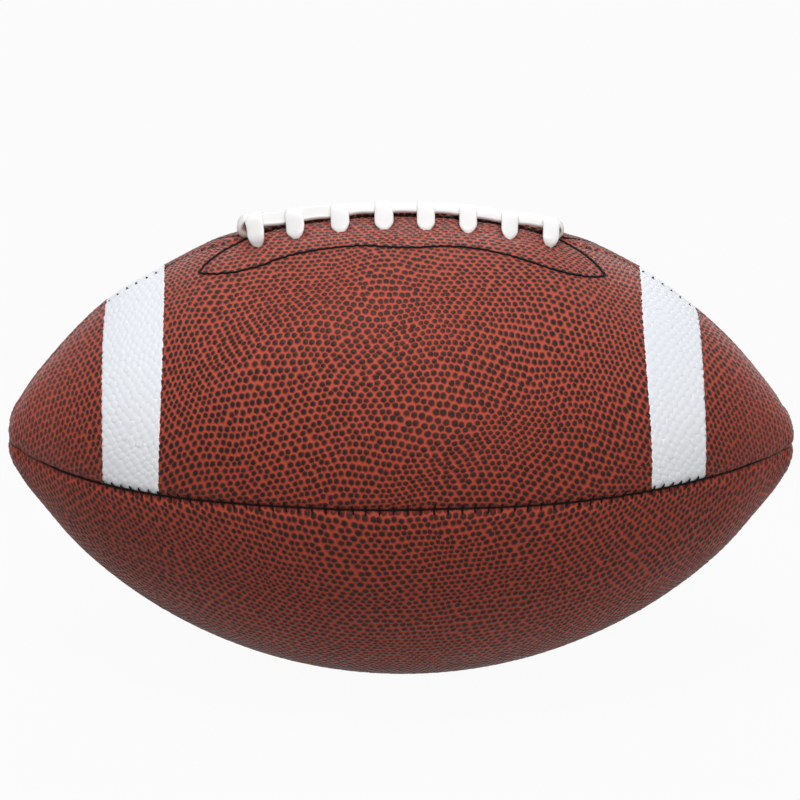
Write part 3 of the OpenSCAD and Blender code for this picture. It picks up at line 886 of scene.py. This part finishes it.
class Sweep:
    def __init__(self):
        self.v, self.f, self.u = [], [], []

    def tube(self, points, sizes, ups, sides=10, power=1.0, hollow=0.0):
        """A closed tube along the points.

        sizes holds (half width, half height), and ups the direction of the
        height. A power below 1 gives a boxier section, and hollow a curled one.
        """
        pts = [Vector(p) for p in points]
        start, last = len(self.v), len(pts) - 1
        for k, p in enumerate(pts):
            t = (pts[min(k + 1, last)] - pts[max(k - 1, 0)]).normalized()
            up = Vector(ups[k])
            up = (up - t * up.dot(t)).normalized()
            across = t.cross(up)
            w, h = sizes[k]
            for s in range(sides):
                a = 2 * math.pi * s / sides
                c, d = math.cos(a), math.sin(a)
                c = math.copysign(abs(c) ** power, c)
                d = math.copysign(abs(d) ** power, d)
                self.v.append(p + across * (w * c) + up * (h * d - hollow * w * c * c / 3))
                self.u.append(1.0 if d < -0.3 else 0.0)
        for k in range(last):
            for s in range(sides):
                n = (s + 1) % sides
                a, b = start + k * sides, start + (k + 1) * sides
                self.f.append((a + s, a + n, b + n, b + s))
        self.f.append(tuple(start + s for s in reversed(range(sides))))
        self.f.append(tuple(start + last * sides + s for s in range(sides)))

    def piece(self, name, mat, node_name, slot):
        bm = bmesh.new()
        under = bm.verts.layers.float.new("under")
        vs = [bm.verts.new(v + AXIS) for v in self.v]
        for v, u in zip(vs, self.u):
            v[under] = u
        for f in self.f:
            bm.faces.new([vs[i] for i in f])
        bmesh.ops.recalc_face_normals(bm, faces=bm.faces[:])
        make_piece(bm, name, mat, node_name)


def seam_point(x, across, lift):
    """A point beside the top seam, and its outward direction.

    It lies across the seam by that distance, and is lifted over the bottom of
    the rolled edges.
    """
    depth = ROLL_DEPTH * (1 - min(abs(across), ROLL_W) / ROLL_W) ** 2
    s = math.sqrt(ARC_R**2 - x * x)
    up = Vector((x / ARC_R, 0, s / ARC_R))
    return Vector((x, across, s - ARC_DROP + SHIFT)) + up * (lift - depth), up


def stitch_places(lo, hi):
    """Where a seam's stitches lie. They are closer together towards the tips."""
    a, places = math.asin(lo / ARC_R) + 0.5 * STITCH_TIP / ARC_R, []
    while a < math.asin(hi / ARC_R):
        places.append(ARC_R * math.sin(a))
        closer = float(step(50, 80, abs(places[-1])))
        a += (STITCH - (STITCH - STITCH_TIP) * closer) / ARC_R
    return places


def seam_thread(name, node_name, turn, lo, hi, seed, lean=0.0):
    """The thread of a seam, turned from the top: a line along it, and stitches over it.

    lean puts the stitches more to one side and slants them.
    """
    rng = np.random.default_rng(seed)
    sweep = Sweep()
    rot = Matrix.Rotation(turn, 3, "X")
    pts, sizes, ups = [], [], []
    line_r, spacing = 0.25, 1.2
    steps = int((hi - lo) / spacing)
    for k in range(steps + 1):
        x = lo + (hi - lo) * k / steps
        lift = 0.28 + 0.08 * math.cos(x * 2 * math.pi / STITCH)
        p, up = seam_point(x, 0.05 * math.sin(x * 1.9), lift)
        pts.append(rot @ p)
        ups.append(rot @ up)
        sizes.append((line_r, line_r))
    sweep.tube(pts, sizes, ups, 8)
    half_reach, half_w, half_t = 1.6, 0.38, 0.34
    for x in stitch_places(lo, hi):
        x += rng.uniform(-0.2, 0.2)
        outer = float(step(50, 80, abs(x)))
        # towards the tips the stitches are small and lie deep between the rolled edges
        small = 1 - 0.62 * float(step(102, 109, abs(x)))
        slope = 0.65 * np.sign(lean) if lean else 0.1
        slant = slope * np.sign(x) * min(1.0, abs(x) / 60)
        slant = (slant + rng.uniform(-0.12, 0.12)) * small
        reach = (half_reach + rng.uniform(-0.15, 0.15)) * small
        pts, sizes, ups = [], [], []
        for j in range(9):
            w = -1 + j / 4
            end = abs(w) ** 3
            across = w * reach + lean * small * outer
            p, up = seam_point(x + slant * w, across, 0.42 * small - 0.38 * end)
            pts.append(rot @ p)
            ups.append(rot @ up)
            thick = (1 - 0.4 * end) * small
            sizes.append((half_w * thick, half_t * thick))
        sweep.tube(pts, sizes, ups, 6)
    sweep.piece(name, THREAD, node_name, "thread")


for word, turn, lo, hi, seed, lean in (
    ("front", math.pi / 2, -STITCH_END, STITCH_END, 5, 0.35),
    ("rear", -math.pi / 2, -STITCH_END, STITCH_END, 6, -0.35),
    ("bottom", math.pi, -STITCH_END, STITCH_END, 7, 0.0),
    ("top_left", 0, -STITCH_END, -TOP_SEAM_X, 8, 0.0),
    ("top_right", 0, TOP_SEAM_X, STITCH_END, 9, 0.0),
):
    seam_thread(word + "_seam_stitching", word + "_seam_thread", turn, lo, hi, seed, lean)


def top_height(x, y):
    """Height of the upper cover's face at a place seen from above, without its pebbles."""
    rho = math.sqrt(max(ARC_R**2 - x * x, 0)) - ARC_DROP
    z = SHIFT + math.sqrt(max(rho**2 - (SHIFT - abs(y)) ** 2, 0))
    return float(smooth_min(z, crown(x, y), CROWN_BLEND))


def facing_thread(name, node_name, side, seed):
    """The stitches round a lace facing. Those in front lie a little higher."""
    rng = np.random.default_rng(seed)
    sweep = Sweep()
    size, low = ((0.43, 0.39), -0.30) if side < 0 else ((0.32, 0.28), -0.48)
    lengths = np.concatenate([[0], np.cumsum(np.hypot(*np.diff(OUTLINE, axis=0).T))])
    total = lengths[-1]
    count = int(total / FACING_STITCH)
    for k in range(count):
        a, b = total * k / count - 0.25, total * (k + 1) / count + 0.25
        wobble = rng.uniform(-0.28, 0.28, 2)
        pts, ups = [], []
        for j in range(7):
            w = j / 6
            s = a + (b - a) * w
            x, y = (np.interp(s, lengths, OUTLINE[:, i]) for i in (0, 1))
            y += wobble[0] * (1 - w) + wobble[1] * w + 0.16 * math.sin(s * 1.9)
            e = 0.2
            nx = (top_height(x - e, y) - top_height(x + e, y)) / (2 * e)
            ny = (top_height(x, y - e) - top_height(x, y + e)) / (2 * e)
            up = Vector((nx, side * ny, 1)).normalized()
            lift = low + 0.30 * math.sin(math.pi * w)
            pts.append(Vector((x, side * y, top_height(x, y))) + up * lift)
            ups.append(up)
        sweep.tube(pts, [size] * len(pts), ups, 6)
    sweep.piece(name, THREAD, node_name, "thread")


facing_thread("front_facing_stitching", "front_facing_thread", -1, 15)
facing_thread("rear_facing_stitching", "rear_facing_thread", 1, 16)


def lace_height(x):
    return math.sqrt(LACE_ARC_R**2 - x * x) - LACE_ARC_R + LACE_MID_H


def lace_drop(x):
    """How much lower than its arc the strap lies, after use."""
    left = 0.5 * step(-14, -28, x) - 0.2 * step(-40, -48, x) - 0.5 * step(-49.5, -53, x)
    return 0.45 + left + 0.5 * step(20, 45, x) + 0.6 * bell(x, 32, 9)


def cross_leg(span, slope):
    """One half of a cross from its middle, as (across, up).

    It is flat over the strap, then a straight slope, then down into the hole.
    """
    flat, knee, corner_r = 2.6, 5.0, 3.0
    bend = math.atan(slope)
    leg = span - corner_r * (1 - math.sin(bend))
    path = [(0.0, 0.0)]
    count = 25
    for j in range(1, count + 1):
        y, run = leg * j / count, leg / count
        path.append((y, path[-1][1] - (slope * step(flat, knee, y) + 0.012 * y) * run))
    cy, cz = leg - corner_r * math.sin(bend), path[-1][1] - corner_r * math.cos(bend)
    count = 12
    for j in range(1, count + 1):
        a = bend + (math.pi / 2 - bend) * j / count
        path.append((cy + corner_r * math.sin(a), cz + corner_r * math.cos(a)))
    for j in range(1, 11):
        path.append((cy + corner_r - 0.04 * j, cz - 0.5 * j))
    return path


# Each cross lies a little off its place, as hand lacing does. For each: how far it strays
# along the ball, how much shorter and wider it is in front, its taper, and its lean.
CROSS_WAYS = (
    (-1.0, 1.2, 0.15, 6.2, 1.0),
    (-1.9, 0.2, 0.38, 4.8, 1.0),
    (-0.9, 0.4, 0.30, 4.6, 0.7),
    (-0.2, 0.0, 0.30, 4.4, 0.3),
    (-0.3, 0.2, 0.12, 4.4, 0.3),
    (-0.3, 0.6, 0.06, 4.6, 0.3),
    (-0.3, 0.7, -0.05, 4.8, -0.3),
    (-0.6, 2.2, -0.10, 5.0, 0.2),
)


def cross_laces():
    sweep = Sweep()
    span = CROSS_Y - 0.35
    half_w, half_t, over_strap = 3.05, 0.5, 1.0
    for x0, (stray, shorter, wider, taper, lean) in zip(CROSS_XS, CROSS_WAYS):
        front = cross_leg(span - shorter, 0.31)
        path = [(-y, z) for y, z in reversed(front[1:])] + cross_leg(span, 0.38)
        base = Vector((x0 + stray, 0, lace_height(x0) - lace_drop(x0) + over_strap))
        rot = Matrix.Rotation(math.asin(x0 / LACE_ARC_R), 3, "Y")
        places = [base + rot @ Vector((0, y, z)) for y, z in path]
        lengths = [0.0]
        for a, b in zip(places, places[1:]):
            lengths.append(lengths[-1] + (b - a).length)
        above = [i for i, p in enumerate(places) if p.z > top_height(p.x, p.y) - 1.8]
        first, last = lengths[above[0]], lengths[above[-1]]
        pts, sizes, ups = [], [], []
        for n, (y, z) in enumerate(path):
            a, b = path[max(n - 1, 0)], path[min(n + 1, len(path) - 1)]
            up = Vector((0, a[1] - b[1], b[0] - a[0])).normalized()
            end = min(lengths[n] - first, last - lengths[n])
            spread = step(3.0, 8.0, abs(y))
            rounded = 1 - (1 - min(max(end, 0) / taper, 1)) ** 2
            w = (half_w + wider * spread) * math.sqrt(max(rounded, 0.12))
            h = half_t + 0.22 * step(4.0, 0.5, end) + 0.1 * spread
            twist = -0.3 * lean * spread if y < 0 else 0.0
            spin = Matrix.Rotation(twist, 3, Vector((0, b[0] - a[0], b[1] - a[1])))
            pts.append(places[n] + rot @ Vector((0.3 * lean * spread, 0, 0)))
            ups.append(rot @ (spin @ up))
            sizes.append((w, h))
        sweep.tube(pts, sizes, ups, 20, 0.68, hollow=0.1)
    sweep.piece("cross_lace_vinyl", LACE, "cross_lace", "lace")


def strap_half(side, corner_r, span, curl):
    """The lengthwise lace from its middle to one end, as (x, up, share of the curl)."""
    bend = math.asin((span - corner_r) / (LACE_ARC_R - corner_r))
    cz = (LACE_ARC_R - corner_r) * math.cos(bend) - LACE_ARC_R
    half = []
    count = 55
    for j in range(count + 1):
        a = bend * j / count
        x = side * LACE_ARC_R * math.sin(a)
        # it sags between the crosses
        sag = 0.18 * math.cos(2 * math.pi * (x + 0.7) / PITCH) - 0.18 + 0.1 * math.sin(x * 0.11)
        half.append((x, LACE_ARC_R * math.cos(a) - LACE_ARC_R + sag, 0.0))
    # its end curls over and back into its hole
    count = 18
    for j in range(1, count + 1):
        a = bend + (curl - bend) * j / count
        x = side * (span - corner_r + corner_r * math.sin(a))
        half.append((x, cz + corner_r * math.cos(a), j / count))
    x, z, _ = half[-1]
    for j in range(1, 8):
        half.append((x + side * 0.5 * j * math.cos(curl), z - 0.5 * j * math.sin(curl), 1.0))
    return half


def lengthwise_lace():
    sweep = Sweep()
    left, right = strap_half(-1, 2.45, END_X - 0.6, 2.8), strap_half(1, 2.2, END_X - 2.6, 2.3)
    path = left[::-1] + right[1:]
    pts, sizes, ups = [], [], []
    for n, (x, z, curled) in enumerate(path):
        a, b = path[max(n - 1, 0)], path[min(n + 1, len(path) - 1)]
        tangent = Vector((b[0] - a[0], 0, b[1] - a[1])).normalized()
        up = Vector((a[1] - b[1], 0, b[0] - a[0])).normalized()
        # towards the left the strap lies turned to the front
        turn = 0.16 + 0.24 * step(-14, -28, x) - 0.3 * step(-50, -58, x)
        turn += 0.12 * step(10, 25, x) - 0.25 * step(50, 54, x)
        width, thick = (3.3, 0.95) if abs(x) < 52 else (3.1, 0.8)
        if x < 0:
            turn -= 0.5 * step(0.3, 1.0, curled)
            thick += 0.45 * float(step(0.2, 0.6, curled))
        z += 0.9 * step(-52, -56, x) - 0.7 * bell(x, -44.5, 5)
        pts.append(Vector((x, 1.2 * step(48, 55, x), z + LACE_MID_H - lace_drop(x))))
        ups.append(Matrix.Rotation(turn, 3, tangent) @ up)
        sizes.append((width, thick))
    sweep.tube(pts, sizes, ups, 20, 0.52)
    sweep.piece("lengthwise_lace_vinyl", LACE, "lengthwise_lace", "lace")


cross_laces()
lengthwise_lace()


# Floor, light and camera, in metres

BALL_MIDDLE = Vector((0, 0, 0.09))


def backdrop_mix(t, share, lit, seen, out):
    """Shows one shader to the rays that show the backdrop, and another to those that light."""
    path = t.nodes.new("ShaderNodeLightPath")
    rays = math_node(t, "MAXIMUM", path.outputs["Is Camera Ray"], path.outputs["Is Glossy Ray"])
    rays = math_node(t, "MAXIMUM", rays, path.outputs["Is Transmission Ray"])
    mix = t.nodes.new("ShaderNodeMixShader")
    t.links.new(times(t, rays, share), mix.inputs[0])
    t.links.new(lit.outputs[0], mix.inputs[1])
    t.links.new(seen.outputs[0], mix.inputs[2])
    t.links.new(mix.outputs[0], out.inputs[0])


def floor_and_world():
    white, grey = (1, 1, 1, 1), (0.36, 0.36, 0.36, 1)
    bpy.ops.mesh.primitive_plane_add(size=12, location=(0, 0, -0.0004))
    floor = bpy.context.object
    floor.name = "floor"
    m, t, b = material("pale_floor")
    b.inputs["Base Color"].default_value = grey
    b.inputs["Roughness"].default_value = 0.9
    b.inputs["Specular IOR Level"].default_value = 0.0
    glow = node(t, "ShaderNodeEmission", in_Color=white, in_Strength=1.0)
    out = [n for n in t.nodes if n.type == "OUTPUT_MATERIAL"][0]
    backdrop_mix(t, 0.95, b, glow, out)
    floor.data.materials.append(m)
    world = bpy.data.worlds.new("studio")
    bpy.context.scene.world = world
    world.use_nodes = True
    t = world.node_tree
    t.nodes.clear()
    light = node(t, "ShaderNodeBackground", in_Color=white, in_Strength=0.2)
    seen = node(t, "ShaderNodeBackground", in_Color=white, in_Strength=1.0)
    backdrop_mix(t, 1.0, light, seen, t.nodes.new("ShaderNodeOutputWorld"))


def lamp(name, place, size, power):
    """A square lamp that points at the ball's middle."""
    data = bpy.data.lights.new(name, "AREA")
    data.shape = "SQUARE"
    data.size = size
    data.energy = power
    obj = bpy.data.objects.new(name, data)
    obj.location = place
    aim = BALL_MIDDLE - Vector(place)
    obj.rotation_euler = aim.to_track_quat("-Z", "Y").to_euler()
    bpy.context.scene.collection.objects.link(obj)


def camera():
    """The photograph's camera, from the fit to its outline. Picture sizes are in its pixels."""
    azimuth, elevation, roll = math.radians(-1.55), math.radians(17.8), math.radians(0.85)
    distance, focal, sensor = 1.75, 4910.0, 36
    picture, cx, cy = 800, 401.46, 437.1
    flat = math.cos(elevation)
    back = Vector((math.sin(azimuth) * flat, -math.cos(azimuth) * flat, math.sin(elevation)))
    right = Vector((math.cos(azimuth), math.sin(azimuth), 0))
    up = back.cross(right)
    data = bpy.data.cameras.new("camera")
    data.sensor_width = sensor
    data.lens = focal / picture * sensor
    data.shift_x = (picture / 2 - cx) / picture
    data.shift_y = (cy - picture / 2) / picture
    data.clip_start = 0.05
    data.clip_end = 50
    obj = bpy.data.objects.new("camera", data)
    rolled = right * math.cos(roll) + up * math.sin(roll)
    m = Matrix((rolled, up * math.cos(roll) - right * math.sin(roll), back)).transposed().to_4x4()
    m.translation = AXIS * MM + back * distance
    obj.matrix_world = m
    bpy.context.scene.collection.objects.link(obj)
    bpy.context.scene.camera = obj


floor_and_world()
lamp("key", (-0.15, -0.45, 1.45), 0.8, 15.2)
lamp("front_fill", (0.4, -1.7, 0.7), 0.9, 9.4)
lamp("rear_fill", (0.2, 1.6, 1.0), 1.0, 9)
camera()

scene = bpy.context.scene
scene.view_settings.view_transform = "Standard"
